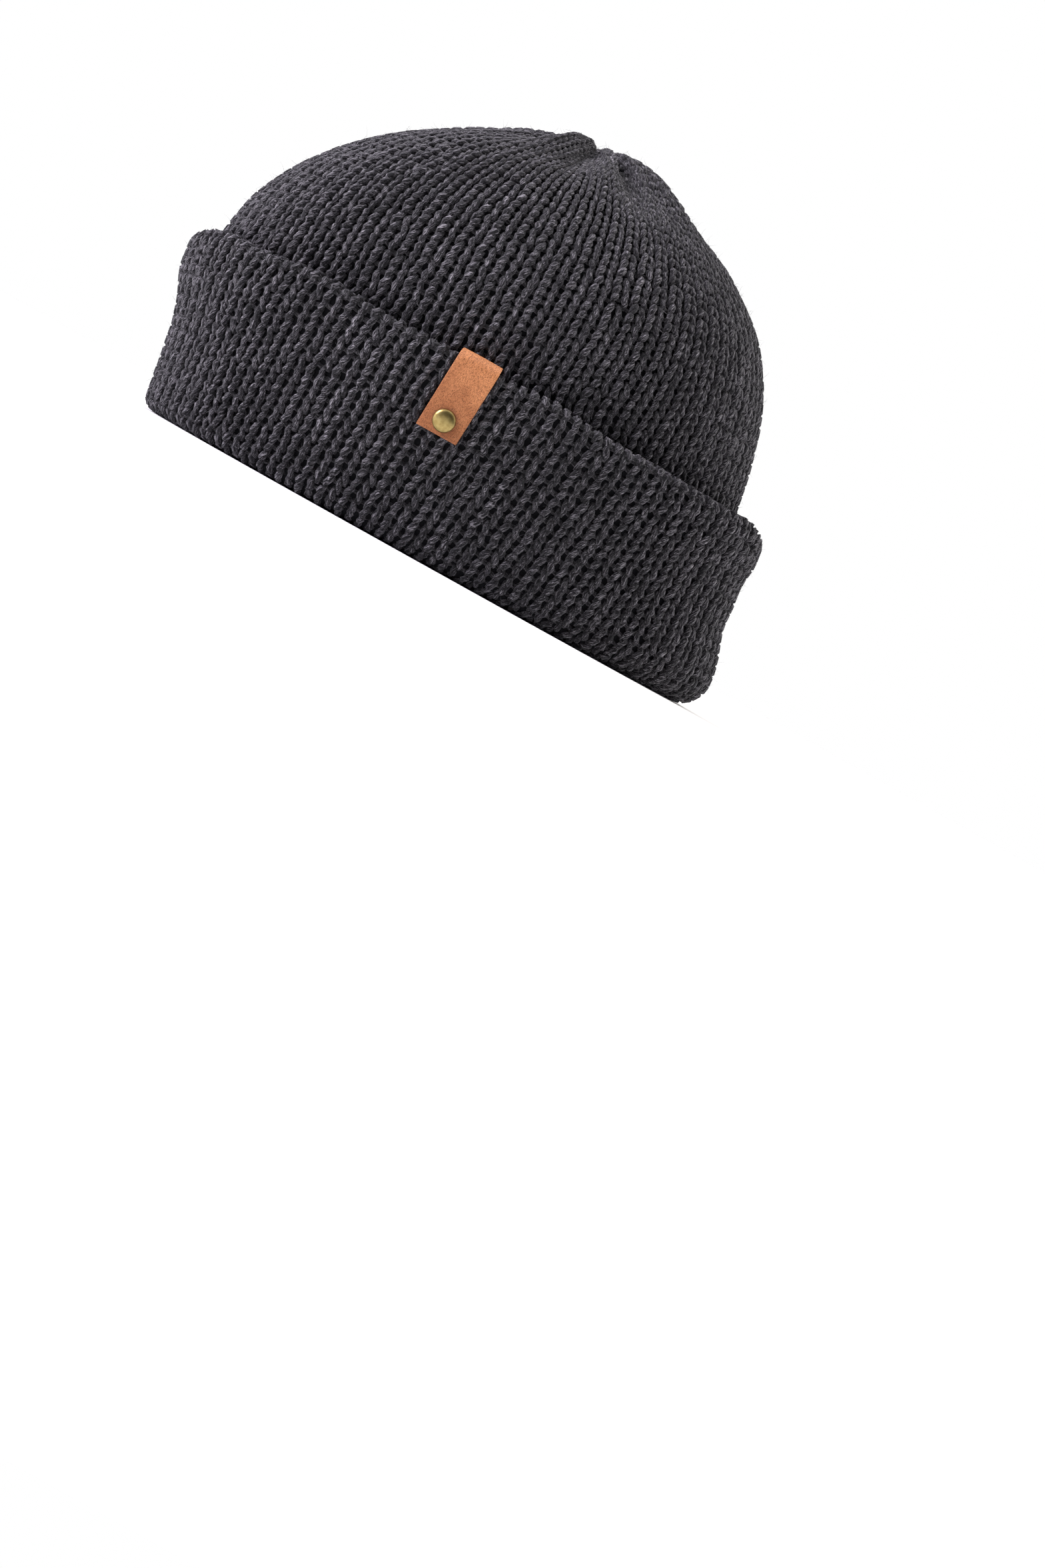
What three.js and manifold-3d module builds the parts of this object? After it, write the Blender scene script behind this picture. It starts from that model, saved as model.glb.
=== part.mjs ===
// A knitted cap: a gathered dome of doubled knit, its lower edge turned up
// outside as a cuff, and a folded leather tab riveted over the cuff's top edge.
// Millimetres, +Z up. The forehead faces -Y and the wearer's left side is +X.
// Bearings go round from the forehead, and 90 degrees is the wearer's left.

import * as THREE from 'three';
import { mergeVertices } from 'three/addons/utils/BufferGeometryUtils.js';
import Module from 'manifold-3d';

const wasm = await Module();
wasm.setup();

// Sizes of the knitted cap. Each reach is from the gather's axis to the outside
// of the dome, level with the cuff's top edge.
const hatHeight = 161.5;
const cuffHeight = 68;
const crownFront = 102;
const crownSide = 84;
const crownBack = 104.5;
const knitWall = 6.4;
const foldDepth = 5;
const ovalPower = 2.15;

// The fold under the cuff: the radius of its corners, and how high the fold
// climbs inside before the crown carries on from it
const bottomRound = 5;
const innerTurn = 12;

// Sizes of the leather tab and its rivet
const leather = 1.3;
const tabWidth = 15;
const tabLength = 30;
const tabBearing = 93;
const tabLean = 3;
const rivetFromEnd = 5.2;
const capDiameter = 8;
const capHeight = 1.9;
const baseDiameter = 7.4;
const baseThickness = 1;
const pinDiameter = 2.8;

// Clearance between pieces that touch
const clearance = 0.3;

// How far the cuff stands off the crown near its top edge. At the sides it holds
// the tab's back leg and the rivet's base, with a little room to spare.
const standoffFront = 2.4;
const standoffBack = 7.4;
const sideSlack = 0.5;
const standoffSide = leather + baseThickness + 3 * clearance + sideSlack;

// How far the cuff's top edge hangs below its height at the sides. The drop
// begins dropBearing degrees away from the forehead and from the back.
const dropFront = 6.5;
const dropBack = 3.2;
const dropBearing = 34;

// Facets
const ringSides = 64;
const roundSides = 20;
const cornerSteps = 3;
const edgeSteps = 6;
const domeSteps = 19;
const liningSteps = 11;
const bandSteps = 5;

// Upright wall of the crown behind the cuff. rise is a share of cuffHeight, and
// the others are shares of crownFront, crownSide and crownBack.
const bandTable = [
  { rise: 0.0, front: 0.888, side: 0.958, back: 1.08 },
  { rise: 0.12, front: 0.896, side: 0.964, back: 1.112 },
  { rise: 0.3, front: 0.911, side: 0.972, back: 1.094 },
  { rise: 0.45, front: 0.924, side: 0.98, back: 1.056 },
  { rise: 0.6, front: 0.95, side: 0.988, back: 1.035 },
  { rise: 0.75, front: 0.982, side: 0.995, back: 1.011 },
  { rise: 0.85, front: 0.991, side: 0.999, back: 1.008 },
  { rise: 1.0, front: 1.0, side: 1.0, back: 1.0 },
];

// How much of its full standoff the cuff has at each height
const standoffTable = [
  { rise: 0.0, front: 0.25, side: 0.25, back: 0.3 },
  { rise: 0.15, front: 0.3, side: 0.45, back: 0.4 },
  { rise: 0.4, front: 0.62, side: 0.82, back: 0.46 },
  { rise: 0.62, front: 0.85, side: 1.0, back: 0.68 },
  { rise: 0.85, front: 1.0, side: 1.0, back: 1.0 },
  { rise: 1.0, front: 0.92, side: 1.0, back: 0.98 },
];

// The dome, from the cuff's top edge, where run is 0, to the gather, where run
// is 1. Out columns are shares of the crown's reach, up columns of the dome's
// own height above the cuff.
const domeTable = [
  { run: 0.0, frontOut: 1.0, sideOut: 1.0, backOut: 1.0, frontUp: 0.0, sideUp: 0.0, backUp: 0.0 },
  { run: 0.12, frontOut: 0.965, sideOut: 0.98, backOut: 0.966, frontUp: 0.174, sideUp: 0.187, backUp: 0.189 },
  { run: 0.25, frontOut: 0.885, sideOut: 0.92, backOut: 0.903, frontUp: 0.344, sideUp: 0.378, backUp: 0.403 },
  { run: 0.38, frontOut: 0.765, sideOut: 0.812, backOut: 0.795, frontUp: 0.507, sideUp: 0.556, backUp: 0.592 },
  { run: 0.52, frontOut: 0.612, sideOut: 0.66, backOut: 0.65, frontUp: 0.651, sideUp: 0.706, backUp: 0.729 },
  { run: 0.65, frontOut: 0.456, sideOut: 0.498, backOut: 0.5, frontUp: 0.755, sideUp: 0.812, backUp: 0.83 },
  { run: 0.77, frontOut: 0.308, sideOut: 0.34, backOut: 0.352, frontUp: 0.843, sideUp: 0.89, backUp: 0.905 },
  { run: 0.87, frontOut: 0.18, sideOut: 0.204, backOut: 0.214, frontUp: 0.892, sideUp: 0.937, backUp: 0.958 },
  { run: 0.94, frontOut: 0.086, sideOut: 0.1, backOut: 0.098, frontUp: 0.932, sideUp: 0.955, backUp: 0.97 },
  { run: 1.0, frontOut: 0.0, sideOut: 0.0, backOut: 0.0, frontUp: 0.915, sideUp: 0.915, backUp: 0.915 },
];

// Gathers: creases that run down from the drawn-in top. depth is a share of
// foldDepth, spread is half the crease's width in degrees, and fade is the run
// at which the crease dies out.
const gatherTable = [
  { bearing: 14, depth: 0.8, spread: 11, fade: 0.66 },
  { bearing: 52, depth: 0.65, spread: 9, fade: 0.72 },
  { bearing: 86, depth: 1.0, spread: 12, fade: 0.56 },
  { bearing: 124, depth: 0.75, spread: 10, fade: 0.62 },
  { bearing: 168, depth: 0.9, spread: 13, fade: 0.6 },
  { bearing: 211, depth: 0.7, spread: 9, fade: 0.7 },
  { bearing: 250, depth: 0.95, spread: 12, fade: 0.58 },
  { bearing: 287, depth: 0.6, spread: 9, fade: 0.74 },
  { bearing: 326, depth: 0.85, spread: 11, fade: 0.64 },
];
const deepestShare = 0.93;
const ridgeStartShare = 0.7;
const ridgeShare = 0.35;

const degree = Math.PI / 180;
const domeHeight = hatHeight - cuffHeight;

// A smooth line through one column or more of a table
function smoothRows(table, key, columns) {
  const keys = table.map((row) => row[key]);
  const values = table.flatMap((row) => columns.map((column) => row[column]));
  const line = new THREE.CubicInterpolant(keys, values, columns.length);
  return (share) => [...line.evaluate(THREE.MathUtils.clamp(share, keys[0], keys.at(-1)))];
}

const bandAt = smoothRows(bandTable, 'rise', ['front', 'side', 'back']);
const standoffAt = smoothRows(standoffTable, 'rise', ['front', 'side', 'back']);
const domeOutAt = smoothRows(domeTable, 'run', ['frontOut', 'sideOut', 'backOut']);
const domeUpAt = smoothRows(domeTable, 'run', ['frontUp', 'sideUp', 'backUp']);

// A point on an oval whose front, sides and back reach out by their own amounts,
// in the direction of a bearing
function ovalPoint(bearing, front, side, back, height) {
  if (side === 0) return new THREE.Vector3(0, 0, height);
  const along = Math.cos(bearing);
  const across = Math.sin(bearing);
  const end = along > 0 ? front : back;
  const spread = Math.abs(along / end) ** ovalPower + Math.abs(across / side) ** ovalPower;
  const reach = spread ** (-1 / ovalPower);
  return new THREE.Vector3(reach * across, -reach * along, height);
}

// A front, side and back value mixed by bearing
function mixByBearing(bearing, [front, side, back]) {
  const along = Math.cos(bearing);
  const share = along * along;
  return side + share * ((along > 0 ? front : back) - side);
}

// How deep the gathers press into the dome at one place. Between the creases the
// knit puffs up a little.
function gatherDepth(bearing, run) {
  const end = 1 - THREE.MathUtils.smoothstep(run, deepestShare, 1);
  let depth = -ridgeShare * THREE.MathUtils.smoothstep(run, ridgeStartShare, deepestShare);
  for (const crease of gatherTable) {
    const turn = bearing / degree - crease.bearing;
    const away = THREE.MathUtils.euclideanModulo(turn + 180, 360) - 180;
    const rise = THREE.MathUtils.smoothstep(run, crease.fade, deepestShare);
    depth += crease.depth * rise * Math.exp(-((away / crease.spread) ** 2));
  }
  return foldDepth * end * depth;
}

// The upright wall behind the cuff, beyond its outside by out
function bandPoint(bearing, height, out) {
  const [front, side, back] = bandAt(height / cuffHeight);
  return ovalPoint(bearing, crownFront * front + out, crownSide * side + out, crownBack * back + out, height);
}

// The dome, inset by the thickness of what lies outside it
function domePoint(bearing, run, inset) {
  const [front, side, back] = domeOutAt(run);
  const up = mixByBearing(bearing, domeUpAt(run));
  const height = cuffHeight + (domeHeight - inset) * up - gatherDepth(bearing, run);
  return ovalPoint(
    bearing,
    (crownFront - inset) * front,
    (crownSide - inset) * side,
    (crownBack - inset) * back,
    height,
  );
}

// The free width between the crown and the cuff
function standoff(bearing, height) {
  const [front, side, back] = standoffAt(height / cuffHeight);
  return mixByBearing(bearing, [standoffFront * front, standoffSide * side, standoffBack * back]);
}

// A closed section is turned round the gather's axis, and each of its rings is
// then moved to the oval of its own place
function turnedOval(stations, place) {
  const section = stations.map((station) => {
    const point = place(tabBearing * degree, station);
    return new THREE.Vector2(Math.hypot(point.x, point.y), point.z);
  });
  const geometry = new THREE.LatheGeometry(section, ringSides);
  const position = geometry.getAttribute('position');
  for (let ring = 0; ring <= ringSides; ring += 1) {
    const bearing = 2 * Math.PI * (ring % ringSides) / ringSides;
    stations.forEach((station, index) => {
      const point = place(bearing, station);
      position.setXYZ(ring * stations.length + index, point.x, point.y, point.z);
    });
  }
  return geometry;
}

// Shared corners are merged, which leaves the mesh ready for a cut
function mergeCorners(geometry) {
  geometry.deleteAttribute('normal');
  geometry.deleteAttribute('uv');
  return mergeVertices(geometry);
}

function toSolid(geometry) {
  const merged = mergeCorners(geometry);
  return new wasm.Manifold(new wasm.Mesh({
    numProp: 3,
    vertProperties: new Float32Array(merged.getAttribute('position').array),
    triVerts: new Uint32Array(merged.getIndex().array),
  }));
}

function toGeometry(solid) {
  const mesh = solid.getMesh();
  const geometry = new THREE.BufferGeometry();
  geometry.setAttribute('position', new THREE.BufferAttribute(mesh.vertProperties, mesh.numProp));
  geometry.setIndex(new THREE.BufferAttribute(mesh.triVerts, 1));
  geometry.computeVertexNormals();
  return geometry;
}

// Even steps from one value to another, both ends included
function steps(from, to, count) {
  return Array.from({ length: count + 1 }, (_, index) => from + (to - from) * index / count);
}

// Crown: down the inside from the gather, round the lower edge, up the outside
function makeCrown() {
  const lowerEdge = innerTurn + clearance;
  const place = (bearing, { run, height, inset }) => (
    run === undefined ? bandPoint(bearing, height, -inset) : domePoint(bearing, run, inset)
  );
  const stations = [
    ...steps(1, 0, liningSteps).map((run) => ({ run, inset: knitWall })),
    ...steps(cuffHeight, lowerEdge, bandSteps).slice(1).map((height) => ({ height, inset: knitWall })),
    ...steps(lowerEdge, cuffHeight, bandSteps).slice(0, -1).map((height) => ({ height, inset: 0 })),
    ...steps(0, 1, domeSteps).map((run) => ({ run, inset: 0 })),
  ];
  return mergeCorners(turnedOval(stations, place));
}

// How far the cuff hangs lower at one place: all of the drop at its top edge, and
// none below half its height
function cuffDrop(bearing, height) {
  const along = Math.cos(bearing);
  const away = Math.acos(Math.min(Math.abs(along), 1)) / degree;
  const share = 1 - THREE.MathUtils.smoothstep(away, 0, dropBearing);
  return (along > 0 ? dropFront : dropBack) * share * THREE.MathUtils.smoothstep(height, cuffHeight / 2, cuffHeight);
}

// Cuff: each station's place out from the crown is a share of the standoff plus
// a fixed amount
function cuffPoint(bearing, { height, share, out }) {
  const straight = Math.min(height, cuffHeight - knitWall / 2);
  const point = bandPoint(bearing, straight, share * standoff(bearing, straight) + out);
  point.z = height - cuffDrop(bearing, height);
  return point;
}

// Up the outside, over the top edge, down to the crease, up to the crown's lower
// edge, down the inside, and round the flat foot
function makeCuff() {
  const edgeRadius = knitWall / 2;
  const shoulder = cuffHeight - edgeRadius;
  const quarter = steps(0, 90, cornerSteps).map((angle) => angle * degree);
  const half = steps(0, 180, edgeSteps).map((angle) => angle * degree);
  const wallHeights = steps(knitWall, shoulder, bandSteps + 1);
  const stations = [
    ...quarter.map((angle) => ({
      height: bottomRound * (1 - Math.cos(angle)),
      share: 1,
      out: knitWall - bottomRound * (1 - Math.sin(angle)),
    })),
    ...wallHeights.slice(0, -1).map((height) => ({ height, share: 1, out: knitWall })),
    ...half.map((angle) => ({
      height: shoulder + edgeRadius * Math.sin(angle),
      share: 1,
      out: edgeRadius * (1 + Math.cos(angle)),
    })),
    ...wallHeights.toReversed().slice(1, -1).map((height) => ({ height, share: 1, out: 0 })),
    { height: knitWall, share: 0.5, out: 0 },
    { height: innerTurn, share: 0, out: 0 },
    { height: innerTurn, share: 0, out: -knitWall },
    ...quarter.toReversed().map((angle) => ({
      height: bottomRound * (1 - Math.cos(angle)),
      share: 0,
      out: -knitWall + bottomRound * (1 - Math.sin(angle)),
    })),
  ];
  stations.push(stations[0]);
  return toSolid(turnedOval(stations, cuffPoint));
}

// A place on the cuff's skin, at a distance along it from the crest of its top
// edge: positive down the outside, negative down the inside
function cuffSkin(bearing, along) {
  const edgeRadius = knitWall / 2;
  const shoulder = cuffHeight - edgeRadius;
  const quarterArc = edgeRadius * Math.PI / 2;
  const beyond = Math.abs(along) - quarterArc;
  if (beyond < 0) {
    const angle = along / edgeRadius;
    return cuffPoint(bearing, {
      height: shoulder + edgeRadius * Math.cos(angle),
      share: 1,
      out: edgeRadius * (1 + Math.sin(angle)),
    });
  }
  return cuffPoint(bearing, { height: shoulder - beyond, share: 1, out: along > 0 ? knitWall : 0 });
}

// The skin's outward direction, from two short steps along it
function skinNormal(bearing, along) {
  const step = 0.01;
  const aside = cuffSkin(bearing + step * degree, along).sub(cuffSkin(bearing - step * degree, along));
  const upward = cuffSkin(bearing, along - step).sub(cuffSkin(bearing, along + step));
  return aside.cross(upward).normalize();
}

// The tab's strip lies on the skin, and leans a little towards the forehead
// down each leg
const rivetAlong = tabLength - rivetFromEnd;
const rivetSpot = cuffSkin(tabBearing * degree, rivetAlong);
const tabReach = Math.hypot(rivetSpot.x, rivetSpot.y);

function tabPlace(across, along, out) {
  const lean = Math.abs(along) * Math.tan(tabLean * degree);
  const bearing = tabBearing * degree + (across - lean) / tabReach;
  return cuffSkin(bearing, along).addScaledVector(skinNormal(bearing, along), out);
}

// Tab: a flat strip bent over the cuff's top edge
function makeTab() {
  const acrossSteps = 3;
  const alongSteps = 34;
  const geometry = new THREE.BoxGeometry(tabWidth, 2 * tabLength, leather, acrossSteps, alongSteps, 1);
  const position = geometry.getAttribute('position');
  for (let index = 0; index < position.count; index += 1) {
    const out = clearance + leather / 2 + position.getZ(index);
    const point = tabPlace(position.getX(index), -position.getY(index), out);
    position.setXYZ(index, point.x, point.y, point.z);
  }
  return toSolid(geometry);
}

// The rivet's own frame: its origin on the cuff's outside, its z axis outwards
const rivetSeat = new THREE.Group();
const rivetNormal = tabPlace(0, rivetAlong, 1).sub(tabPlace(0, rivetAlong, 0));
rivetSeat.position.copy(tabPlace(0, rivetAlong, 0));
rivetSeat.quaternion.setFromUnitVectors(new THREE.Vector3(0, 0, 1), rivetNormal);
rivetSeat.updateMatrixWorld();

const leatherTop = clearance + leather;
const capUnderside = leatherTop + clearance;
const baseTop = -(knitWall + clearance + leather + clearance);

// A section given as [radius, height] pairs, turned round the rivet's axis
function turnedRivet(section) {
  const geometry = new THREE.LatheGeometry(section.map(([x, y]) => new THREE.Vector2(x, y)), roundSides);
  return mergeCorners(geometry.rotateX(90 * degree));
}

// Cap: a flat underside and a low dome with a small upright rim
function makeRivetCap() {
  const radius = capDiameter / 2;
  const rim = capHeight * 0.22;
  const dome = steps(0, 90, edgeSteps).map((angle) => [
    radius * Math.cos(angle * degree),
    capUnderside + rim + (capHeight - rim) * Math.sin(angle * degree),
  ]);
  dome.at(-1)[0] = 0;
  return turnedRivet([[0, capUnderside], [radius, capUnderside], ...dome]);
}

// Base: a disc behind the cuff and the pin that reaches to the cap
function makeRivetBase() {
  const pin = pinDiameter / 2;
  return turnedRivet([
    [0, baseTop - baseThickness],
    [baseDiameter / 2, baseTop - baseThickness],
    [baseDiameter / 2, baseTop],
    [pin, baseTop],
    [pin, leatherTop],
    [0, leatherTop],
  ]);
}

// The bore that the pin passes through in the leather and the knit
function rivetBore() {
  const length = 4 * (knitWall + leather);
  const bore = new THREE.CylinderGeometry(
    pinDiameter / 2 + clearance,
    pinDiameter / 2 + clearance,
    length,
    roundSides,
  );
  bore.rotateX(90 * degree);
  bore.translate(0, 0, -knitWall / 2);
  bore.applyMatrix4(rivetSeat.matrixWorld);
  return toSolid(bore);
}

const bore = rivetBore();

const knit = new THREE.MeshStandardMaterial({ color: 0x4a494d, roughness: 0.95, metalness: 0 });
const tan = new THREE.MeshStandardMaterial({ color: 0xa9683f, roughness: 0.55, metalness: 0 });
const brass = new THREE.MeshStandardMaterial({ color: 0x9a8450, roughness: 0.35, metalness: 0.9 });

function namedMesh(name, geometry, material) {
  const mesh = new THREE.Mesh(geometry, material);
  mesh.name = name;
  return mesh;
}

rivetSeat.add(namedMesh('rivet_cap', makeRivetCap(), brass));
rivetSeat.add(namedMesh('rivet_base', makeRivetBase(), brass));

const group = new THREE.Group();
group.add(namedMesh('crown', makeCrown(), knit));
group.add(namedMesh('cuff', toGeometry(makeCuff().subtract(bore)), knit));
group.add(namedMesh('leather_tab', toGeometry(makeTab().subtract(bore)), tan));
group.add(rivetSeat);

// The origin is the centre of the whole cap's box, on the surface that it rests on
const box = new THREE.Box3().setFromObject(group);
const centre = box.getCenter(new THREE.Vector3());
group.position.set(-centre.x, -centre.y, -box.min.z);

export default group;
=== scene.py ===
import math

import bpy
import numpy as np
from mathutils import Matrix, Vector


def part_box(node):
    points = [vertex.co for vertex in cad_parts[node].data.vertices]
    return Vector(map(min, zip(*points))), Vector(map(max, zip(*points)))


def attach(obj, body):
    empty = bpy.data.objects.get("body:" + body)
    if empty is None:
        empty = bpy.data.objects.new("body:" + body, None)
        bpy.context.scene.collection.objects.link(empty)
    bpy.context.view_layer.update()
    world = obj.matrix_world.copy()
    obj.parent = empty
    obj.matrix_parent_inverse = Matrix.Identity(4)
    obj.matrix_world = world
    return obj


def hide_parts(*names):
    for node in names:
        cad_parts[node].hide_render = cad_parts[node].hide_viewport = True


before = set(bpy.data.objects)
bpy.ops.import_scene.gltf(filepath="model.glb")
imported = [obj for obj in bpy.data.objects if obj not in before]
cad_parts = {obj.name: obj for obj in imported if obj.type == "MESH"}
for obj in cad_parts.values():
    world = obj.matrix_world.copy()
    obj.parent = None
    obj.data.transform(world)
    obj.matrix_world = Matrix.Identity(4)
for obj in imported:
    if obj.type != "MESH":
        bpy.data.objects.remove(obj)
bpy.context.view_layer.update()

# Crown, the outer layer of knit. The real one is a wide tube of plain knitting
# in thick charcoal heather yarn, drawn in at the top with a thread. Each row of
# stitches is one closed ring of yarn, and its legs show outside as upright Vs.

# Sizes in millimetres, as the solid crown has them
hat_height = 161.5
cuff_height = 68.0
crown_front = 102.0
crown_side = 84.0
crown_back = 104.5
knit_wall = 6.4

# How square the oval plan is
oval_power = 2.15

# Depth of the solid's gathers, and of the creases that the yarn draws into them
fold_depth = 5.0
crease_depth = 6.6

# Soft ridge between the gathers: share of their depth, and runs of start and top
ridge_share = 0.35
ridge_start = 0.7
ridge_top = 0.93

# Runs up the dome where puckers grow and fade, and where all of it lies flat,
# and how far the puckers turn on their way up
pucker_grows = (0.5, 0.8)
pucker_fades = (0.82, 0.97)
pole_flattens = (0.86, 1.02)
pucker_turn = 6.0

# Creases: how much sooner, narrower and by which run they are fully drawn in
crease_sooner = 0.06
crease_narrower = 0.78
crease_full = 0.88

# Upright wall behind the cuff: rise, then front, side and back shares
band_table = [
    (0.0, 0.888, 0.958, 1.08),
    (0.12, 0.896, 0.964, 1.112),
    (0.3, 0.911, 0.972, 1.094),
    (0.45, 0.924, 0.98, 1.056),
    (0.6, 0.95, 0.988, 1.035),
    (0.75, 0.982, 0.995, 1.011),
    (0.85, 0.991, 0.999, 1.008),
    (1.0, 1.0, 1.0, 1.0),
]

# Dome: run, then the front, side and back shares out, and the same three up
dome_table = [
    (0.0, 1.0, 1.0, 1.0, 0.0, 0.0, 0.0),
    (0.12, 0.965, 0.98, 0.966, 0.174, 0.187, 0.189),
    (0.25, 0.885, 0.92, 0.903, 0.344, 0.378, 0.403),
    (0.38, 0.765, 0.812, 0.795, 0.507, 0.556, 0.592),
    (0.52, 0.612, 0.66, 0.65, 0.651, 0.706, 0.729),
    (0.65, 0.456, 0.498, 0.5, 0.755, 0.812, 0.83),
    (0.77, 0.308, 0.34, 0.352, 0.843, 0.89, 0.905),
    (0.87, 0.18, 0.204, 0.214, 0.892, 0.937, 0.958),
    (0.94, 0.086, 0.1, 0.098, 0.932, 0.955, 0.97),
    (1.0, 0.0, 0.0, 0.0, 0.915, 0.915, 0.915),
]

# Gathers: bearing, depth share, half width in degrees, run where it dies out
gather_table = [
    (14, 0.8, 11, 0.66),
    (52, 0.65, 9, 0.72),
    (86, 1.0, 12, 0.56),
    (124, 0.75, 10, 0.62),
    (168, 0.9, 13, 0.6),
    (211, 0.7, 9, 0.7),
    (250, 0.95, 12, 0.58),
    (287, 0.6, 9, 0.74),
    (326, 0.85, 11, 0.64),
]

# The axis that the crown is gathered to
crown_low, crown_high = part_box("crown")
axis_x = 500 * (crown_low[0] + crown_high[0])
axis_y = 1000 * crown_low[1] + crown_front


def smooth_line(rows, column):
    knots = np.array([row[0] for row in rows], float)
    values = np.array([row[column] for row in rows], float)
    secants = np.diff(values) / np.diff(knots)
    slopes = np.concatenate((secants[:1], (secants[1:] + secants[:-1]) / 2, secants[-1:]))

    def at(x):
        x = np.clip(x, knots[0], knots[-1])
        low = np.clip(np.searchsorted(knots, x, side="right") - 1, 0, len(knots) - 2)
        high = low + 1
        span = knots[high] - knots[low]
        part = (x - knots[low]) / span
        rest = (1 - part) ** 2
        start = values[low] * (1 + 2 * part) * rest + slopes[low] * span * part * rest
        end = values[high] * part * part * (3 - 2 * part)
        return start + end + slopes[high] * span * part * part * (part - 1)

    return at


band_at = [smooth_line(band_table, column) for column in (1, 2, 3)]
dome_out_at = [smooth_line(dome_table, column) for column in (1, 2, 3)]
dome_up_at = [smooth_line(dome_table, column) for column in (4, 5, 6)]


def smooth_step(x, start, end):
    x = np.clip((x - start) / (end - start), 0, 1)
    return x * x * (3 - 2 * x)


def oval_place(bearing, front, side, back, height):
    along, across = np.cos(bearing), np.sin(bearing)
    end = np.maximum(np.where(along > 0, front, back), 1e-4)
    side = np.maximum(side, 1e-4)
    spread = np.abs(along / end) ** oval_power + np.abs(across / side) ** oval_power
    reach = spread ** (-1 / oval_power)
    x = axis_x + reach * across
    y = axis_y - reach * along
    return np.stack((x, y, np.broadcast_to(height, x.shape)), -1)


def mix_by_bearing(bearing, front, side, back):
    along = np.cos(bearing)
    return side + along * along * (np.where(along > 0, front, back) - side)


# Small puckers between the gathers: waves round the crown, depth, turn, sway
pucker_table = [
    (4, 0.8, 0.4, 1.1),
    (7, 0.9, 2.1, -0.9),
    (11, 0.8, 4.4, 1.6),
    (15, 0.5, 1.2, -1.3),
]


def gather_depth(bearing, run):
    depth = -ridge_share * fold_depth * smooth_step(run, ridge_start, ridge_top)
    puckered = smooth_step(run, *pucker_grows) * (1 - smooth_step(run, *pucker_fades))
    for waves, reach, turn, sway in pucker_table:
        depth = depth + reach * puckered * np.sin(waves * bearing + turn + pucker_turn * sway * run)
    for middle, share, spread, fade in gather_table:
        away = (np.degrees(bearing) - middle + 180) % 360 - 180
        rise = smooth_step(run, fade - crease_sooner, crease_full)
        crease = np.exp(-((away / (crease_narrower * spread)) ** 2))
        depth = depth + crease_depth * share * rise * crease
    return depth * (1 - smooth_step(run, *pole_flattens))


def band_place(bearing, height, out):
    front, side, back = [line(height / cuff_height) for line in band_at]
    return oval_place(
        bearing, crown_front * front + out, crown_side * side + out, crown_back * back + out, height
    )


def dome_place(bearing, run, inset):
    front, side, back = [line(run) for line in dome_out_at]
    up = mix_by_bearing(bearing, *[line(run) for line in dome_up_at])
    height = cuff_height + (hat_height - cuff_height - inset) * up - gather_depth(bearing, run)
    return oval_place(
        bearing,
        (crown_front - inset) * front,
        (crown_side - inset) * side,
        (crown_back - inset) * back,
        height,
    )


# A skin is a fine net of places on the knit's face, with the direction out of
# it and the mean distance along a wale, from which rows of yarn are laid
net_bearings = np.linspace(0, 2 * math.pi, 720, endpoint=False)
net_step = 0.5


def make_skin(lines):
    place = np.stack(lines)
    down = np.gradient(place, axis=0)
    around = np.roll(place, -1, axis=1) - np.roll(place, 1, axis=1)
    out = np.cross(down, around)
    out /= np.maximum(np.linalg.norm(out, axis=2, keepdims=True), 1e-9)
    steps = np.linalg.norm(np.diff(place, axis=0), axis=2).mean(axis=1)
    return {"place": place, "out": out, "arc": np.concatenate(([0.0], np.cumsum(steps)))}


def on_skin(skin, arc, bearing):
    stations, count = skin["place"].shape[:2]
    station = np.interp(arc, skin["arc"], np.arange(stations))
    station = np.clip(station, 0, stations - 1.001)
    column = (bearing / (2 * math.pi) * count) % count
    upper, left = station.astype(int), column.astype(int) % count
    right = (left + 1) % count
    down = (station - upper)[..., None]
    aside = (column - np.floor(column))[..., None]
    found = []
    for net in (skin["place"], skin["out"]):
        near = net[upper, left] * (1 - aside) + net[upper, right] * aside
        far = net[upper + 1, left] * (1 - aside) + net[upper + 1, right] * aside
        found.append(near * (1 - down) + far * down)
    found[1] /= np.maximum(np.linalg.norm(found[1], axis=-1, keepdims=True), 1e-9)
    return found


# The crown's face from the gather down to a little below the cuff's top edge
band_shown_to = 54.0
crown_lines = [dome_place(net_bearings, run, 0) for run in np.linspace(1, 0, 260)]
crown_lines += [
    band_place(net_bearings, height, 0)
    for height in np.arange(cuff_height - net_step, band_shown_to, -net_step)
]
crown_skin = make_skin(crown_lines)

# Stitches: their number round the cap, the rows' pitch, and the yarn
wale_count = 77
row_pitch = 3.8
yarn_radius = 1.2
yarn_wide = 1.06
yarn_deep = 0.94
proud = 0.1
knit_seed = 11

# A leg: its lean in wales, its rise and its bends in mm, its bulk as a share
leg_spread = 0.212
leg_straight = 0.03
leg_rise = 3.0
leg_front = 0.9
leg_twist = 0.2
leg_bulk = -0.04

# Yarn is thinner where a loop bends back behind its neighbours, and painted darker there as shade in the
# recess
loop_bulk = (0.85, 0.15)
loop_painted_shade = (0.8, 0.28)

# Unevenness: places in wales and mm, thickness and tone as shares
wale_uneven = 0.04
row_uneven = 0.3
row_waves = 24
row_wander = 0.18
yarn_uneven = 0.1
tone_uneven = 0.16
ruffle_middle = -0.2
ruffle_uneven = 0.65

# Wales are drawn towards the creases, fully so in the first share of the gather.
# The yarn is squeezed where a wale is narrow, and keeps clear of the pole.
warp_full = 0.35
crease_pull = 0.62
crease_reach = 1.4
full_wale = 6.0
nearest_pole = 0.3


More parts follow.
